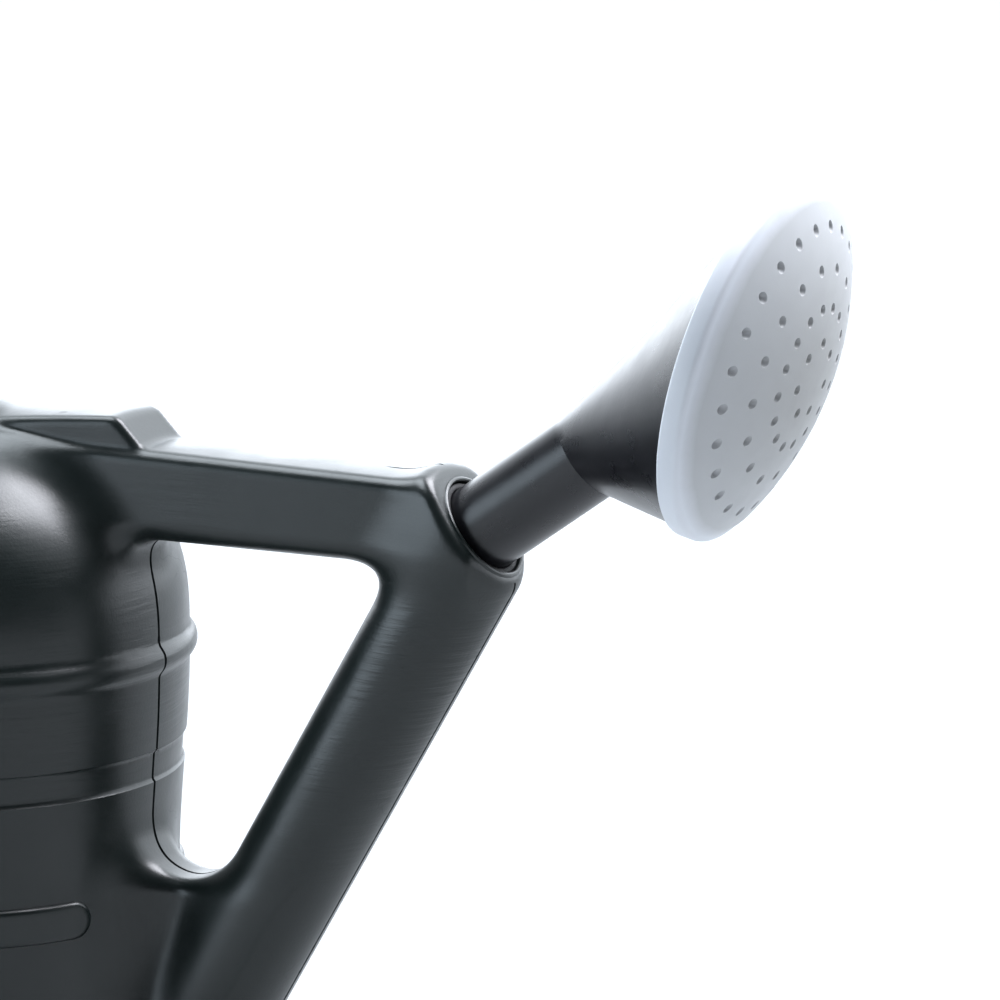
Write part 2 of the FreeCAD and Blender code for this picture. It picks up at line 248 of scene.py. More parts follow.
def handle_distance(p):
    """Grip, rear bend and leg, swept along a path in the plane y = 0."""
    x, y, z = p
    half_depth = (GRIP_HIGH - GRIP_LOW) / 2
    axis_z = GRIP_HIGH - half_depth
    bend = BEND_X - HANDLE_BACK - half_depth
    centre = np.array([BEND_X, axis_z - bend])
    foot = np.array([-(WAIST_RADIUS - WALL), HANDLE_FOOT_Z])
    reach = np.linalg.norm(foot - centre)
    end_angle = math.atan2(foot[1] - centre[1], foot[0] - centre[0]) - math.acos(bend / reach)
    end = centre + bend * np.array([math.cos(end_angle), math.sin(end_angle)])
    grip = np.hypot(x - np.clip(x, BEND_X, BLOCK_BACK), z - axis_z)
    leg_dir = (foot - end) / np.linalg.norm(foot - end)
    t = np.clip((x - end[0]) * leg_dir[0] + (z - end[1]) * leg_dir[1], 0, np.linalg.norm(foot - end))
    leg = np.hypot(x - end[0] - t * leg_dir[0], z - end[1] - t * leg_dir[1])
    angle = np.mod(np.arctan2(z - centre[1], x - centre[0]), 2 * math.pi)
    in_bend = (angle >= math.pi / 2) & (angle <= end_angle % (2 * math.pi))
    arc = np.abs(np.hypot(x - centre[0], z - centre[1]) - bend)
    path = np.minimum(np.minimum(grip, leg), np.where(in_bend, arc, 1e3))
    return corner(path - half_depth, y - GRIP_HALF_WIDTH, HANDLE_ROUND)


def web_distance(p):
    """Web that fills the corner between the tank and the spout's lower end."""
    x, y, z = p
    d = corner(y - WEB_HALF_WIDTH, z - WEB_TOP, WEB_ROUND)
    return np.maximum(np.maximum(d, beyond_spout_axis(p)), TANK_RADIUS / 2 - x)


def can_distance(p, fine=False):
    """The whole one-piece can: walls, open filler mouth, spout bore and socket."""
    p = (p[0], np.abs(p[1]), p[2])
    z = p[2]
    tank = tank_solid(p, fine)
    plain_tank = tank_distance(p, False)
    above = along(p, FILLER_POINT, FILLER_NORMAL)
    bead = np.hypot(plain_tank + 0.6, above + RIM_BEAD) - RIM_BEAD
    body = blend_min(blend_max(tank, above, 1.5), bead, 2.0)
    spout = spout_distance(p)
    body = blend_min(body, blend_min(spout, web_distance(p), WEB_BLEND), SPOUT_BLEND)
    body = blend_min(body, bar_distance(p), BAR_BLEND)
    body = blend_min(body, block_distance(p), BLOCK_BLEND)
    body = blend_min(body, handle_distance(p), HANDLE_BLEND)
    past_mouth = along(p, MOUTH, ROSE_AXIS)
    body = blend_max(body, past_mouth, MOUTH_BLEND)
    body = np.maximum(body, -z)
    hollow = np.maximum(tank_solid(p, False) + WALL, above - 0.6)
    bore = np.maximum(np.maximum(spout + WALL, past_mouth + SOCKET_DEPTH + 3), RECESS_DEPTH + WALL + 4 - z)
    hollow = blend_min(hollow, bore, 4.0)
    socket = from_axis(p, MOUTH, ROSE_AXIS) - SEAT_RADIUS
    socket = np.maximum(socket, -(past_mouth + SOCKET_DEPTH + 6))
    return blend_max(body, -np.minimum(hollow, socket), OPENING_BLEND)


# ---- from the distance field to a mesh ---------------------------------------------------------
def field_mesh(distance, low, high):
    """Quads of the zero surface, as vertices in millimetres and quad indices."""
    axes = [np.arange(low[i], high[i] + VOXEL, VOXEL, dtype=np.float32) for i in range(3)]
    grid = openvdb.FloatGrid(3 * VOXEL)
    plane = np.meshgrid(axes[1], axes[2], indexing="ij")
    values = np.empty((len(axes[0]), len(axes[1]), len(axes[2])), np.float32)
    slab = 24
    for start in range(0, len(axes[0]), slab):
        x = axes[0][start:start + slab].astype(np.float64)[:, None, None]
        y = plane[0].astype(np.float64)[None]
        z = plane[1].astype(np.float64)[None]
        values[start:start + slab] = distance(np.broadcast_arrays(x, y, z))
    np.clip(values, -3 * VOXEL, 3 * VOXEL, out=values)
    grid.copyFromArray(values)
    points, quads = grid.convertToQuads(isovalue=0)
    origin = np.array([axes[0][0], axes[1][0], axes[2][0]], np.float64)
    return points.astype(np.float64) * VOXEL + origin, quads


def gradient(distance, points):
    """Slope of the field at each point, by central differences."""
    step = 0.05
    result = np.empty_like(points)
    for i in range(3):
        ahead = points.copy()
        behind = points.copy()
        ahead[:, i] += step
        behind[:, i] -= step
        result[:, i] = (distance(ahead.T) - distance(behind.T)) / (2 * step)
    return result


def settle(distance, points, rounds, limit=VOXEL):
    """Moves points onto the zero surface along its gradient."""
    for _ in range(rounds):
        slope = gradient(distance, points)
        size = np.maximum((slope ** 2).sum(1), 0.05)
        move = -slope * (distance(points.T) / size)[:, None]
        length = np.linalg.norm(move, axis=1)
        move *= np.minimum(1, limit / np.maximum(length, 1e-9))[:, None]
        points = points + move
    return points


def relax(points, quads, distance, rounds):
    """Evens out the quads on the surface, which takes the grid's steps out of the highlights."""
    ends = np.concatenate([quads[:, [0, 1]], quads[:, [1, 2]], quads[:, [2, 3]], quads[:, [3, 0]]])
    for _ in range(rounds):
        total = np.zeros_like(points)
        count = np.zeros(len(points))
        for a, b in ((0, 1), (1, 0)):
            np.add.at(total, ends[:, a], points[ends[:, b]])
            np.add.at(count, ends[:, a], 1)
        points = 0.4 * points + 0.6 * total / count[:, None]
        points = settle(distance, points, 1)
    return points


def new_object(name, mesh):
    piece = bpy.data.objects.new(name, mesh)
    bpy.context.scene.collection.objects.link(piece)
    return piece


def smooth_by_angle(mesh, degrees):
    """Smooth shading with real edges kept where two faces meet at more than the angle."""
    for polygon in mesh.polygons:
        polygon.use_smooth = True
    bm = bmesh.new()
    bm.from_mesh(mesh)
    limit = math.radians(degrees)
    for edge in bm.edges:
        sharp = len(edge.link_faces) != 2 or edge.calc_face_angle(0.0) > limit
        edge.smooth = not sharp
    bm.to_mesh(mesh)
    bm.free()


def everything(bm):
    return list(bm.verts) + list(bm.edges) + list(bm.faces)


def sliced_half(points, quads):
    """Near half of the mesh, with edges along the recessed band and along the parting groove."""
    mesh = bpy.data.meshes.new("can_half")
    mesh.from_pydata(points.tolist(), [], quads.tolist())
    bm = bmesh.new()
    bm.from_mesh(mesh)
    bmesh.ops.remove_doubles(bm, verts=bm.verts, dist=1e-4)
    for height in (BAND_LOW, BAND_HIGH, BAND_LOW + BAND_DEPTH, BAND_HIGH - BAND_DEPTH):
        bmesh.ops.bisect_plane(bm, geom=everything(bm), plane_co=(0, 0, height), plane_no=(0, 0, 1),
                               dist=CUT_SNAP)
    for y in (2 * PARTING_HALF_WIDTH, PARTING_HALF_WIDTH, 0):
        bmesh.ops.bisect_plane(bm, geom=everything(bm), plane_co=(0, y, 0), plane_no=(0, 1, 0),
                               dist=CUT_SNAP, clear_inner=y == 0)
    bm.to_mesh(mesh)
    bm.free()
    return mesh


def parting_share(points):
    """How deep the parting line runs at each point: 1 on the can's outside, 0 on its inside."""
    p = points.T
    inside_tank = tank_solid((p[0], np.abs(p[1]), p[2]), False) < -0.75 * WALL
    inside_spout = spout_distance(p) < -WALL / 2
    outside_rose = along(p, MOUTH, ROSE_AXIS) < -1.5
    under_mouth = along(p, FILLER_POINT, FILLER_NORMAL) < 1.0
    within = (inside_tank & under_mouth) | inside_spout
    top_side = p[2] > BAR_BOTTOM + 8
    fade = np.where(top_side, np.clip((p[0] - MOUTH[0] + PARTING_TOP) / PARTING_FADE, 0, 1), 1.0)
    return fade * (~within & outside_rose & (p[2] > 1.0))


def engraved(points):
    """Points settled on the exact field, with those along y = 0 sunk into the parting groove."""
    exact = lambda q: can_distance(q, fine=True)
    settled = settle(exact, points, 2, limit=1.3)
    near_seam = points[:, 1] < 3 * PARTING_HALF_WIDTH
    settled[near_seam, 1] = points[near_seam, 1]
    normal = gradient(exact, settled)
    normal /= np.maximum(np.linalg.norm(normal, axis=1), 1e-9)[:, None]
    groove = points[:, 1] < PARTING_HALF_WIDTH + 1.5 * CUT_SNAP
    depth = PARTING_DEPTH * parting_share(settled)
    settled[groove] -= (normal * depth[:, None])[groove]
    settled[near_seam, 1] = points[near_seam, 1]
    settled[points[:, 1] < 1e-3, 1] = 0.0
    return settled


def can_mesh():
    """Half of the can from the field, with the parting line cut in, then mirrored."""
    low = (HANDLE_BACK - 6, -2 * VOXEL, -2 * VOXEL)
    high = (MOUTH[0] + 32, TANK_RADIUS + 6, BLOCK_HIGH + 6)
    points, quads = field_mesh(can_distance, low, high)
    mesh = sliced_half(relax(points, quads, can_distance, 4), quads)
    points = np.empty(3 * len(mesh.vertices))
    mesh.vertices.foreach_get("co", points)
    points = engraved(points.reshape(-1, 3))
    mesh.vertices.foreach_set("co", (points * MM).ravel())
    mesh.update()
    bm = bmesh.new()
    bm.from_mesh(mesh)
    bmesh.ops.mirror(bm, geom=everything(bm), matrix=Matrix.Identity(4), merge_dist=1e-6, axis="Y")
    bmesh.ops.recalc_face_normals(bm, faces=bm.faces)
    bm.to_mesh(mesh)
    bm.free()
    return mesh


def lathe(bm, profile, origin, axis, segments, closed=True):
    """Turns (radius, height) points, in millimetres, about an axis in the plane y = 0."""
    side = np.array([0.0, 1.0, 0.0])
    up = np.cross(axis, side)
    rings = []
    for radius, height in profile:
        ring = []
        for i in range(segments):
            angle = 2 * math.pi * i / segments
            spot = origin + axis * height + radius * (side * math.cos(angle) + up * math.sin(angle))
            ring.append(bm.verts.new(Vector(spot * MM)))
        rings.append(ring)
    pairs = list(zip(rings, rings[1:]))
    if closed:
        pairs.append((rings[-1], rings[0]))
    for ring_a, ring_b in pairs:
        for i in range(segments):
            j = (i + 1) % segments
            bm.faces.new((ring_a[i], ring_a[j], ring_b[j], ring_b[i]))
    return rings


def socket_ring(bm):
    """Crisp lip around the spout's socket and the bore below it."""
    profile = [(SEAT_RADIUS, 0.1), (SEAT_RADIUS + 0.35, 0.55), (SEAT_RADIUS + 0.9, 0.7),
               (SEAT_RADIUS + 1.5, 0.45), (SEAT_RADIUS + 1.9, -0.3), (SEAT_RADIUS + 2.0, -2.2),
               (SEAT_RADIUS + 0.6, -SOCKET_DEPTH - 1), (NECK_RADIUS + 0.3, -SOCKET_DEPTH - 1),
               (NECK_RADIUS + 0.3, -3.2), (SEAT_RADIUS, -3.2)]
    lathe(bm, profile, MOUTH, ROSE_AXIS, 96)


def panel_strip(bm, side):
    """Raised strip with round ends on one flank, sunk a little into the tank's wall."""
    half = (PANEL_HIGH - PANEL_LOW) / 2
    middle = (PANEL_HIGH + PANEL_LOW) / 2
    half_length = WAIST_RADIUS * (math.pi / 2 - PANEL_START) - half
    straight = 96
    bend = 12

    def outline(inset):
        radius = half - inset
        points = [(-half_length + 2 * half_length * i / straight, radius) for i in range(straight)]
        points += [(half_length + radius * math.sin(math.pi * i / bend),
                    radius * math.cos(math.pi * i / bend)) for i in range(bend)]
        return points + [(-s, -t) for s, t in points]

    def raised(points, height):
        ring = []
        for s, t in points:
            angle = side * (math.pi / 2 - s / WAIST_RADIUS)
            reach = WAIST_RADIUS + height
            spot = Vector((reach * math.cos(angle), reach * math.sin(angle), middle + t))
            ring.append(bm.verts.new(spot * MM))
        return ring

    levels = [(-0.6, -1.0), (-0.3, 0.1), (0.1, PANEL_PROUD * 0.55), (0.8, PANEL_PROUD * 0.88),
              (1.8, PANEL_PROUD), (3.0, PANEL_PROUD)]
    rings = [raised(outline(inset), height) for inset, height in levels]
    count = len(rings[0])
    for ring_a, ring_b in zip(rings, rings[1:]):
        for i in range(count):
            j = (i + 1) % count
            bm.faces.new((ring_a[i], ring_a[j], ring_b[j], ring_b[i]))
    for ring in (rings[0], rings[-1]):
        for i in range(straight):
            low = count - bend - i
            bm.faces.new((ring[i], ring[i + 1], ring[low - 1], ring[low]))
        bm.faces.new(ring[straight:straight + bend + 1])
        bm.faces.new(ring[2 * straight + bend:] + [ring[0]])


def make_can():
    mesh = can_mesh()
    bm = bmesh.new()
    bm.from_mesh(mesh)
    body_faces = len(bm.faces)
    socket_ring(bm)
    for side in (-1, 1):
        panel_strip(bm, side)
    bmesh.ops.recalc_face_normals(bm, faces=list(bm.faces)[body_faces:])
    bm.to_mesh(mesh)
    bm.free()
    smooth_by_angle(mesh, 34)
    can = new_object("can_shell", mesh)
    can.data.materials.append(can_plastic())
    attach(can, "can")
    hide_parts("tank_base", "tank_wall_lower", "tank_wall_upper", "tank_shoulder", "filler_rim",
                "spout_tube", "spout_mouth", "spout_web", "brace_bar", "handle_block", "handle_grip",
                "handle_leg")
    return can


# ---- rose --------------------------------------------------------------------------------------
SKIRT_DEPTH = 5.7
SKIRT_WALL = 2.1
EDGE_GAP = 0.3
ROSE_WALL = 2.0
FACE_WALL = 2.2
FUNNEL_SAG = 3.5
FACE_SPHERE = 126.0
FACE_STEP = 2.87
HOLE_RADIUS = 1.15
DIMPLE_RADIUS = 2.1
DIMPLE_DEPTH = 1.5
HOLE_RINGS = ((53.0, 24, 7.5), (39.3, 16, 15.0), (25.8, 16, 15.0), (13.4, 7, 42.2))
SEAL_TOP = -0.8
SEAL_HEIGHT = 2.3
SEAL_NECK_GAP = 0.12
SEAL_SEAT_GAP = 0.25
SEAL_SQUARENESS = 0.7
LIP_RADIUS = FACE_RADIUS - SKIRT_WALL - EDGE_GAP
FACE_UP = np.array([-FACE_AXIS[2], 0.0, FACE_AXIS[0]])


def face_centre():
    """Centre of the rim's front plane, from the box of the face plate."""
    low = node_low("rose_face")
    reach_up = FACE_RADIUS * FACE_UP
    back = FACE_AXIS * SKIRT_DEPTH
    x = low[0] + reach_up[0] + back[0]
    z = low[2] + reach_up[2]
    return np.array([x, 0.0, z])


FACE_CENTRE = face_centre()


def neck_end():
    """Point on the neck's axis where its underside meets the funnel's lower edge."""
    down = np.array([ROSE_AXIS[2], 0.0, -ROSE_AXIS[0]])
    underside = MOUTH + down * NECK_RADIUS - FACE_CENTRE
    return MOUTH - ROSE_AXIS * (LIP_RADIUS + underside @ FACE_UP) / (ROSE_AXIS @ FACE_UP)


def make_rose():
    """Neck and oblique funnel in one moulding, with a wall and an open lip."""
    segments = 144
    rows = 28
    side = np.array([0.0, 1.0, 0.0])
    end = neck_end()
    skirt_back = FACE_CENTRE - FACE_AXIS * SKIRT_DEPTH
    neck_up = np.cross(ROSE_AXIS, side)
    face_up = np.cross(FACE_AXIS, side)
    angles = 2 * math.pi * np.arange(segments) / segments

    def circle(centre, up, radius):
        return centre + radius * (np.cos(angles)[:, None] * side + np.sin(angles)[:, None] * up)

    def skin(inset):
        rings = [circle(MOUTH - ROSE_AXIS * (SOCKET_DEPTH - EDGE_GAP), neck_up, NECK_RADIUS - inset)]
        for share in (0.3, 0.6, 0.85, 0.97):
            start = MOUTH - ROSE_AXIS * (SOCKET_DEPTH - EDGE_GAP)
            rings.append(circle(start + (end - start) * share, neck_up, NECK_RADIUS - inset))
        near = circle(end, neck_up, NECK_RADIUS - inset)
        far = circle(skirt_back, face_up, LIP_RADIUS - inset)
        upper = 0.5 + 0.5 * np.sin(angles)
        for row in range(rows + 1):
            share = row / rows
            sag = FUNNEL_SAG * math.sin(math.pi * share) * upper
            rings.append(near + (far - near) * share - sag[:, None] * face_up)
        rings.append(circle(FACE_CENTRE - FACE_AXIS * 1.0, face_up, LIP_RADIUS - inset))
        return rings

    rings = skin(0.0) + skin(ROSE_WALL)[::-1]
    bm = bmesh.new()
    made = [[bm.verts.new(Vector(spot * MM)) for spot in ring] for ring in rings]
    for ring_a, ring_b in zip(made, made[1:] + made[:1]):
        for i in range(segments):
            j = (i + 1) % segments
            bm.faces.new((ring_a[i], ring_a[j], ring_b[j], ring_b[i]))
    bmesh.ops.recalc_face_normals(bm, faces=bm.faces)
    mesh = bpy.data.meshes.new("rose_shell")
    bm.to_mesh(mesh)
    bm.free()
    smooth_by_angle(mesh, 22)
    rose = new_object("rose_shell", mesh)
    rose.data.materials.append(rose_plastic())
    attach(rose, "rose")
    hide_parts("rose_neck", "rose_funnel")
    return rose

def dome_height(radius):
    """Height of the face's dome over the rim's plane."""
    rim = FACE_RADIUS - 1.6
    drop = math.sqrt(FACE_SPHERE ** 2 - rim ** 2)
    return FACE_STEP - drop + math.sqrt(FACE_SPHERE ** 2 - radius ** 2)


def make_face():
    """Domed plate with a rolled rim and skirt; the sprinkler holes are drilled at the bottom of dimples."""
    segments = 192
    inner = FACE_RADIUS - SKIRT_WALL
    profile = [(inner, -SKIRT_DEPTH), (FACE_RADIUS - 0.5, -SKIRT_DEPTH),
               (FACE_RADIUS - 0.1, -SKIRT_DEPTH + 0.4), (FACE_RADIUS, -SKIRT_DEPTH + 1.0),
               (FACE_RADIUS, 0.0), (FACE_RADIUS - 0.2, 0.9), (FACE_RADIUS - 0.8, 1.7),
               (FACE_RADIUS - 1.8, 2.35), (FACE_RADIUS - 3.2, 3.35)]
    outer_steps = 40
    start = FACE_RADIUS - 5.0
    profile += [(start * (1 - i / outer_steps), dome_height(start * (1 - i / outer_steps)))
                for i in range(outer_steps)]
    under = [(r, h - FACE_WALL) for r, h in profile[-outer_steps:]][::-1]
    under.append((inner, dome_height(inner) - FACE_WALL - 0.6))
    bm = bmesh.new()
    rings = lathe(bm, profile, FACE_CENTRE, FACE_AXIS, segments, closed=False)
    centre_top = bm.verts.new(Vector((FACE_CENTRE + FACE_AXIS * dome_height(0)) * MM))
    last = rings[-1]
    for i in range(segments):
        bm.faces.new((last[i], last[(i + 1) % segments], centre_top))
    lower = lathe(bm, under, FACE_CENTRE, FACE_AXIS, segments, closed=False)
    centre_low = bm.verts.new(Vector((FACE_CENTRE + FACE_AXIS * (dome_height(0) - FACE_WALL)) * MM))
    for i in range(segments):
        bm.faces.new((lower[0][(i + 1) % segments], lower[0][i], centre_low))
        j = (i + 1) % segments
        bm.faces.new((lower[-1][i], lower[-1][j], rings[0][j], rings[0][i]))
    bmesh.ops.recalc_face_normals(bm, faces=bm.faces)
    mesh = bpy.data.meshes.new("rose_face_plate")
    bm.to_mesh(mesh)
    bm.free()
    plate = new_object("rose_face_plate", mesh)

    drills = bmesh.new()
    side = np.array([0.0, 1.0, 0.0])
    up = np.cross(FACE_AXIS, side)
    for ring_radius, count, first in HOLE_RINGS:
        for index in range(count):
            angle = math.radians(first + 360 * index / count)
            spot = FACE_CENTRE + ring_radius * (up * math.sin(angle) - side * math.cos(angle))
            height = dome_height(ring_radius)
            profile = [(0.001, height - 6), (HOLE_RADIUS, height - 6), (HOLE_RADIUS, height - DIMPLE_DEPTH),
                       (DIMPLE_RADIUS, height + 0.15), (DIMPLE_RADIUS + 0.6, height + 1.2),
                       (0.001, height + 1.2)]
            lathe(drills, profile, spot, FACE_AXIS, 20, closed=False)
    bmesh.ops.remove_doubles(drills, verts=drills.verts, dist=5e-6)
    bmesh.ops.recalc_face_normals(drills, faces=drills.faces)
    drill_mesh = bpy.data.meshes.new("drills")
    drills.to_mesh(drill_mesh)
    drills.free()
    drill = new_object("drills", drill_mesh)
    cut = plate.modifiers.new("holes", "BOOLEAN")
    cut.operation = "DIFFERENCE"
    cut.solver = "EXACT"
    cut.object = drill
    plate.data = applied(plate)
    plate.modifiers.clear()
    bpy.data.objects.remove(drill)
    smooth_by_angle(plate.data, 28)
    plate.data.materials.clear()
    plate.data.materials.append(face_plastic_painted_shade_and_light())
    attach(plate, "face")
    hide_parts("rose_face")
    return plate


def applied(piece):
    """The mesh of an object with its modifiers applied."""
    graph = bpy.context.evaluated_depsgraph_get()
    return bpy.data.meshes.new_from_object(piece.evaluated_get(graph))


def squared(value):
    """Turns a circle's sine or cosine into that of a section with fuller corners."""
    return math.copysign(abs(value) ** SEAL_SQUARENESS, value)


def make_seal():
    """Rubber ring that fills the gap between the spout's seat and the rose's neck."""
    inner = NECK_RADIUS + SEAL_NECK_GAP
    outer = SEAT_RADIUS - SEAL_SEAT_GAP
    steps = 14
    profile = []
    for i in range(steps):
        angle = 2 * math.pi * i / steps
        radius = (inner + outer) / 2 + (outer - inner) / 2 * squared(math.cos(angle))
        height = SEAL_TOP - SEAL_HEIGHT / 2 + SEAL_HEIGHT / 2 * squared(math.sin(angle))
        profile.append((radius, height))
    bm = bmesh.new()
    lathe(bm, profile, MOUTH, ROSE_AXIS, 96)
    bmesh.ops.recalc_face_normals(bm, faces=bm.faces)
    mesh = bpy.data.meshes.new("seal_ring")
    bm.to_mesh(mesh)
    bm.free()
    smooth_by_angle(mesh, 50)
    seal = new_object("seal_ring", mesh)
    seal.data.materials.append(seal_rubber())
    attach(seal, "seal")
    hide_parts("neck_seal")
    return seal


# ---- materials ---------------------------------------------------------------------------------
class Nodes:
    """Short way to add shader nodes to one material."""

    def __init__(self, name):
        self.material = bpy.data.materials.new(name)
        self.material.use_nodes = True
        self.tree = self.material.node_tree
        self.shader = self.tree.nodes["Principled BSDF"]

    def add(self, kind, **settings):
        node = self.tree.nodes.new(kind)
        for key, value in settings.items():
            setattr(node, key, value)
        return node

    def link(self, source, target):
        self.tree.links.new(source, target)

    def place(self, scale):
        """Object coordinates, stretched by scale along each axis."""
        where = self.add("ShaderNodeTexCoord")
        mapping = self.add("ShaderNodeMapping")
        mapping.inputs["Scale"].default_value = scale
        self.link(where.outputs["Object"], mapping.inputs["Vector"])
        return mapping.outputs["Vector"]

    def noise(self, scale, detail=3.0, roughness=0.5, stretch=(1, 1, 1)):
        node = self.add("ShaderNodeTexNoise")
        node.inputs["Scale"].default_value = scale
        node.inputs["Detail"].default_value = detail
        node.inputs["Roughness"].default_value = roughness
        self.link(self.place(stretch), node.inputs["Vector"])
        return node.outputs["Fac"]

    def off_axis(self, point, axis):
        """Distance from a line, in metres."""
        away = self.add("ShaderNodeVectorMath", operation="SUBTRACT")
        self.link(self.place((1, 1, 1)), away.inputs[0])
        away.inputs[1].default_value = point
        cross = self.add("ShaderNodeVectorMath", operation="CROSS_PRODUCT")
        self.link(away.outputs["Vector"], cross.inputs[0])
        cross.inputs[1].default_value = axis
        length = self.add("ShaderNodeVectorMath", operation="LENGTH")
        self.link(cross.outputs["Vector"], length.inputs[0])
        return length.outputs["Value"]

    def spread(self, value, low, high, out_low, out_high):
        node = self.add("ShaderNodeMapRange")
        node.inputs["From Min"].default_value = low
        node.inputs["From Max"].default_value = high
        node.inputs["To Min"].default_value = out_low
        node.inputs["To Max"].default_value = out_high
        self.link(value, node.inputs["Value"])
        return node.outputs["Result"]

    def math(self, operation, *values):
        node = self.add("ShaderNodeMath", operation=operation)
        for socket, value in zip(node.inputs, values):
            if isinstance(value, (int, float)):
                socket.default_value = value
            else:
                self.link(value, socket)
        return node.outputs["Value"]

    def base_colour(self, factor, first, second):
        """Base colour that wanders between two tones."""
        self.link(self.colour_mix(factor, first, second), self.shader.inputs["Base Color"])

    def colour_mix(self, factor, first, second):
        node = self.add("ShaderNodeMix", data_type="RGBA")
        node.inputs["A"].default_value = (*first, 1)
        node.inputs["B"].default_value = (*second, 1)
        self.link(factor, node.inputs["Factor"])
        return node.outputs["Result"]

    def bump(self, height, strength, distance, below=None):
        node = self.add("ShaderNodeBump")
        node.inputs["Strength"].default_value = strength
        node.inputs["Distance"].default_value = distance
        self.link(height, node.inputs["Height"])
        if below is not None:
            self.link(below, node.inputs["Normal"])
        return node.outputs["Normal"]


def scratches(nodes, scale, stretch, width):
    """Thin sparse lines: high where a stretched noise crosses its middle value."""
    line = nodes.noise(scale, 2.0, 0.4, stretch)
    near = nodes.math("ABSOLUTE", nodes.math("SUBTRACT", line, 0.5))
    return nodes.spread(near, 0.0, width, 1.0, 0.0)


def can_plastic():
    """Dark green blow-moulded polyethylene: satin, with faint mould ripples, orange peel and scuffs."""
    nodes = Nodes("can_plastic")
    cloud = nodes.noise(14.0, 4.0, 0.55)
    fine = nodes.noise(900.0, 3.0, 0.6)
    nodes.base_colour(nodes.spread(cloud, 0.3, 0.7, 0, 1), (0.0036, 0.0066, 0.0066), (0.0062, 0.0098, 0.0094))
    scuff = nodes.math("MULTIPLY", scratches(nodes, 42.0, (1, 1, 2.6), 0.012),
                       nodes.spread(nodes.noise(30.0, 2.0), 0.56, 0.66, 0, 1))
    rough = nodes.spread(nodes.noise(46.0, 4.0, 0.6), 0.3, 0.7, 0.28, 0.36)
    rough = nodes.math("ADD", rough, nodes.math("MULTIPLY", scuff, 0.09))
    nodes.link(rough, nodes.shader.inputs["Roughness"])
    ripple = nodes.noise(1.0, 3.0, 0.55, (26, 26, 420))
    patch = nodes.spread(nodes.noise(11.0, 2.0), 0.50, 0.66, 0.06, 1)
    ripple = nodes.math("MULTIPLY", ripple, patch)
    normal = nodes.bump(ripple, 0.36, 0.0012)
    normal = nodes.bump(fine, 0.10, 0.0004, normal)
    normal = nodes.bump(scuff, 0.05, 0.0004, normal)
    nodes.link(normal, nodes.shader.inputs["Normal"])
    nodes.shader.inputs["IOR"].default_value = 1.5
    nodes.shader.inputs["Specular IOR Level"].default_value = 0.42
    return nodes.material


def rose_plastic():
    """Near-black injection-moulded plastic, smooth, with light handling marks."""
    nodes = Nodes("rose_plastic")
    cloud = nodes.noise(22.0, 3.0)
    nodes.base_colour(nodes.spread(cloud, 0.35, 0.65, 0, 1), (0.005, 0.005, 0.0065), (0.0085, 0.0082, 0.0105))
    marks = nodes.math("MULTIPLY", scratches(nodes, 60.0, (1, 2.2, 1), 0.01),
                       nodes.spread(nodes.noise(34.0, 2.0), 0.62, 0.75, 0, 1))
    rough = nodes.spread(nodes.noise(70.0, 4.0, 0.6), 0.3, 0.7, 0.26, 0.32)
    rough = nodes.math("ADD", rough, nodes.math("MULTIPLY", marks, 0.04))
    nodes.link(rough, nodes.shader.inputs["Roughness"])
    normal = nodes.bump(nodes.noise(700.0, 2.0), 0.05, 0.0003)
    normal = nodes.bump(nodes.noise(55.0, 2.0), 0.05, 0.002, normal)
    nodes.link(normal, nodes.shader.inputs["Normal"])
    nodes.shader.inputs["IOR"].default_value = 1.52
    nodes.shader.inputs["Specular IOR Level"].default_value = 0.42
    return nodes.material


def face_plastic_painted_shade_and_light():
    """White frosted plastic with a faint cloudiness and some depth; its base colour carries painted shade in
    the middle and painted light towards the rim.
    """
    nodes = Nodes("face_plastic_painted_shade_and_light")
    cloud = nodes.noise(30.0, 4.0, 0.6)
    cloud_shift = nodes.spread(cloud, 0, 1, -0.002, 0.002)
    reach = nodes.math("ADD", nodes.off_axis(FACE_CENTRE * MM, FACE_AXIS), cloud_shift)
    # Painted shade and light: the base colour is darkest in the middle, grows paler outwards, and is much
    # paler in the outer rim band.
    middle = nodes.spread(reach, 0.2 * FACE_RADIUS * MM, 0.85 * FACE_RADIUS * MM, 0, 0.32)
    rim = nodes.spread(reach, (FACE_RADIUS - 6.5) * MM, (FACE_RADIUS - 2.0) * MM, 0, 0.68)
    # The dark tone is painted shade for the plate's middle and the pale bluish tone is painted light for its
    # rim.
    nodes.base_colour(nodes.math("ADD", middle, rim), (0.27, 0.27, 0.268), (0.54, 0.56, 0.60))
    rough = nodes.spread(nodes.noise(90.0, 4.0, 0.6), 0.3, 0.7, 0.42, 0.54)
    nodes.link(rough, nodes.shader.inputs["Roughness"])
    normal = nodes.bump(nodes.noise(1200.0, 2.0), 0.06, 0.0002)
    normal = nodes.bump(nodes.noise(45.0, 2.0), 0.04, 0.0015, normal)
    nodes.link(normal, nodes.shader.inputs["Normal"])
    nodes.shader.inputs["Subsurface Weight"].default_value = 0.25
    nodes.shader.inputs["Subsurface Radius"].default_value = (1.0, 0.95, 0.9)
    nodes.shader.inputs["Subsurface Scale"].default_value = 0.003
    return nodes.material


def seal_rubber():
    """Black rubber with a dull bloom."""
    nodes = Nodes("seal_rubber")
    bloom = nodes.noise(160.0, 3.0)
    nodes.base_colour(nodes.spread(bloom, 0.35, 0.7, 0, 1), (0.006, 0.006, 0.0065), (0.014, 0.014, 0.015))
    nodes.link(nodes.spread(bloom, 0.3, 0.7, 0.6, 0.8), nodes.shader.inputs["Roughness"])
    nodes.link(nodes.bump(nodes.noise(1500.0, 2.0), 0.1, 0.0002), nodes.shader.inputs["Normal"])
    return nodes.material


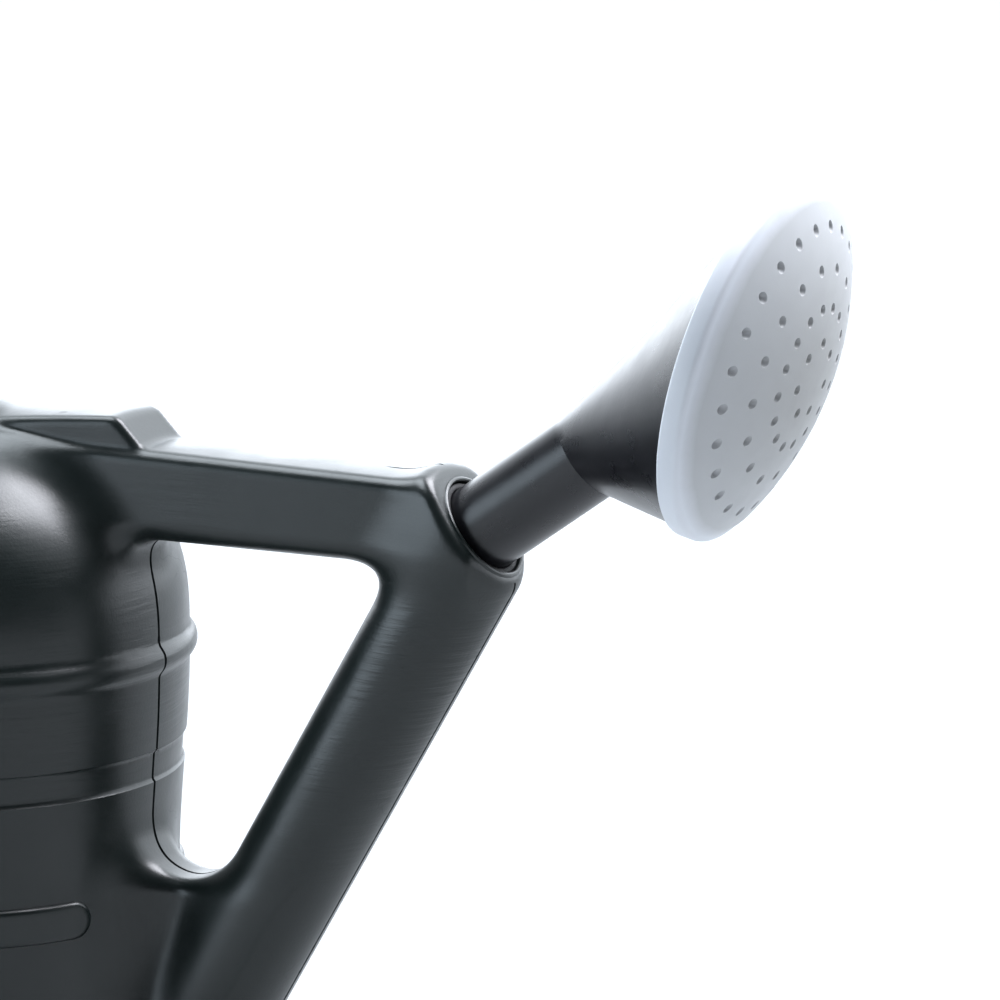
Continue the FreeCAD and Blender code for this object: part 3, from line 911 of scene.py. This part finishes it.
# ---- stage, light and camera, in metres --------------------------------------------------------
FLOOR_HALF = 20.0
ROOM_COLOUR = (0.87, 0.93, 1.0, 1)
ROOM_NEAR_STRENGTH = 0.08
ROOM_FAR_STRENGTH = 3.6
ROOM_FADE = (-0.25, 0.75)
ROOM_TURN = 0.02
LIGHT_TARGET = (0, 0, 0.3)
# name: place, size, power, colour
SOFT_BOXES = {
    "key_light": ((0.57, 0.57, 1.69), (1.0, 0.9), 58, (0.92, 0.93, 1.0)),
    "top_light": ((-0.5, -0.12, 1.5), (0.9, 0.7), 22, (0.85, 0.93, 1.0)),
    "back_light": ((-0.9, 1.8, 0.85), (2.2, 0.8), 8, (0.86, 0.92, 1.0)),
    "fill_light": ((-1.38, -1.16, 0.56), (1.6, 0.9), 21, (0.76, 0.89, 1.0)),
}
CAMERA_PLACE = (0.9248, -1.4514, 0.6109)
CAMERA_AZIMUTH = math.radians(25.51)
CAMERA_ELEVATION = math.radians(10.47)
CAMERA_ROLL = math.radians(0.3725)
CAMERA_LENS = 162.9
SENSOR_WIDTH = 36.0
CAMERA_REACH = 100.0


def make_floor():
    corners = [(-1, -1), (1, -1), (1, 1), (-1, 1)]
    mesh = bpy.data.meshes.new("floor")
    mesh.from_pydata([(x * FLOOR_HALF, y * FLOOR_HALF, 0) for x, y in corners], [], [(0, 1, 2, 3)])
    floor = new_object("floor", mesh)
    nodes = Nodes("floor_paper")
    nodes.base_colour(nodes.noise(2.0, 2.0), (0.89, 0.89, 0.895), (0.91, 0.91, 0.915))
    nodes.shader.inputs["Roughness"].default_value = 0.95
    nodes.shader.inputs["Specular IOR Level"].default_value = 0.0
    floor.data.materials.append(nodes.material)


def soft_light(name):
    """Soft box that faces the can and isn't seen itself."""
    place, size, power, colour = SOFT_BOXES[name]
    light = bpy.data.lights.new(name, "AREA")
    light.shape = "RECTANGLE"
    light.size, light.size_y = size
    light.energy = power
    light.color = colour
    lamp = bpy.data.objects.new(name, light)
    bpy.context.scene.collection.objects.link(lamp)
    lamp.location = place
    lamp.visible_camera = False
    aim = Vector(LIGHT_TARGET) - Vector(place)
    lamp.rotation_euler = aim.to_track_quat("-Z", "Y").to_euler()
    return lamp


def make_room_light():
    """World that is bright on the far side of the can and dim on the near side."""
    world = bpy.data.worlds.new("studio")
    bpy.context.scene.world = world
    world.use_nodes = True
    tree = world.node_tree
    background = tree.nodes["Background"]
    background.inputs["Color"].default_value = ROOM_COLOUR
    where = tree.nodes.new("ShaderNodeTexCoord")
    split = tree.nodes.new("ShaderNodeSeparateXYZ")
    lean = tree.nodes.new("ShaderNodeMath")
    lean.operation = "MULTIPLY_ADD"
    lean.inputs[1].default_value = ROOM_TURN
    fade = tree.nodes.new("ShaderNodeMapRange")
    fade.interpolation_type = "SMOOTHSTEP"
    fade.inputs["From Min"].default_value, fade.inputs["From Max"].default_value = ROOM_FADE
    fade.inputs["To Min"].default_value = ROOM_NEAR_STRENGTH
    fade.inputs["To Max"].default_value = ROOM_FAR_STRENGTH
    tree.links.new(where.outputs["Generated"], split.inputs["Vector"])
    tree.links.new(split.outputs["X"], lean.inputs[0])
    tree.links.new(split.outputs["Y"], lean.inputs[2])
    tree.links.new(lean.outputs["Value"], fade.inputs["Value"])
    tree.links.new(fade.outputs["Result"], background.inputs["Strength"])


def make_light(pieces):
    """The room and four soft boxes. Two of these leave the paper floor to the room's even light."""
    make_room_light()
    lit = bpy.data.collections.new("lit")
    for piece in pieces:
        lit.objects.link(piece)
    for name in ("key_light", "top_light"):
        soft_light(name).light_linking.receiver_collection = lit
    for name in ("back_light", "fill_light"):
        soft_light(name)


def make_camera():
    """Camera at the photograph's viewing angle."""
    data = bpy.data.cameras.new("camera")
    data.sensor_width = SENSOR_WIDTH
    data.lens = CAMERA_LENS
    data.clip_end = CAMERA_REACH
    camera = bpy.data.objects.new("camera", data)
    bpy.context.scene.collection.objects.link(camera)
    azimuth = CAMERA_AZIMUTH
    lift = CAMERA_ELEVATION
    right = Vector((math.cos(azimuth), math.sin(azimuth), 0))
    back = Vector((math.sin(azimuth) * math.cos(lift), -math.cos(azimuth) * math.cos(lift), math.sin(lift)))
    up = back.cross(right)
    turn = Matrix((right, up, back)).transposed() @ Matrix.Rotation(CAMERA_ROLL, 3, "Z")
    camera.matrix_world = Matrix.Translation(CAMERA_PLACE) @ turn.to_4x4()
    bpy.context.scene.camera = camera


pieces = [make_can(), make_rose(), make_face(), make_seal()]
make_floor()
make_light(pieces)
make_camera()
bpy.context.scene.view_settings.view_transform = "Standard"

bpy.context.view_layer.update()
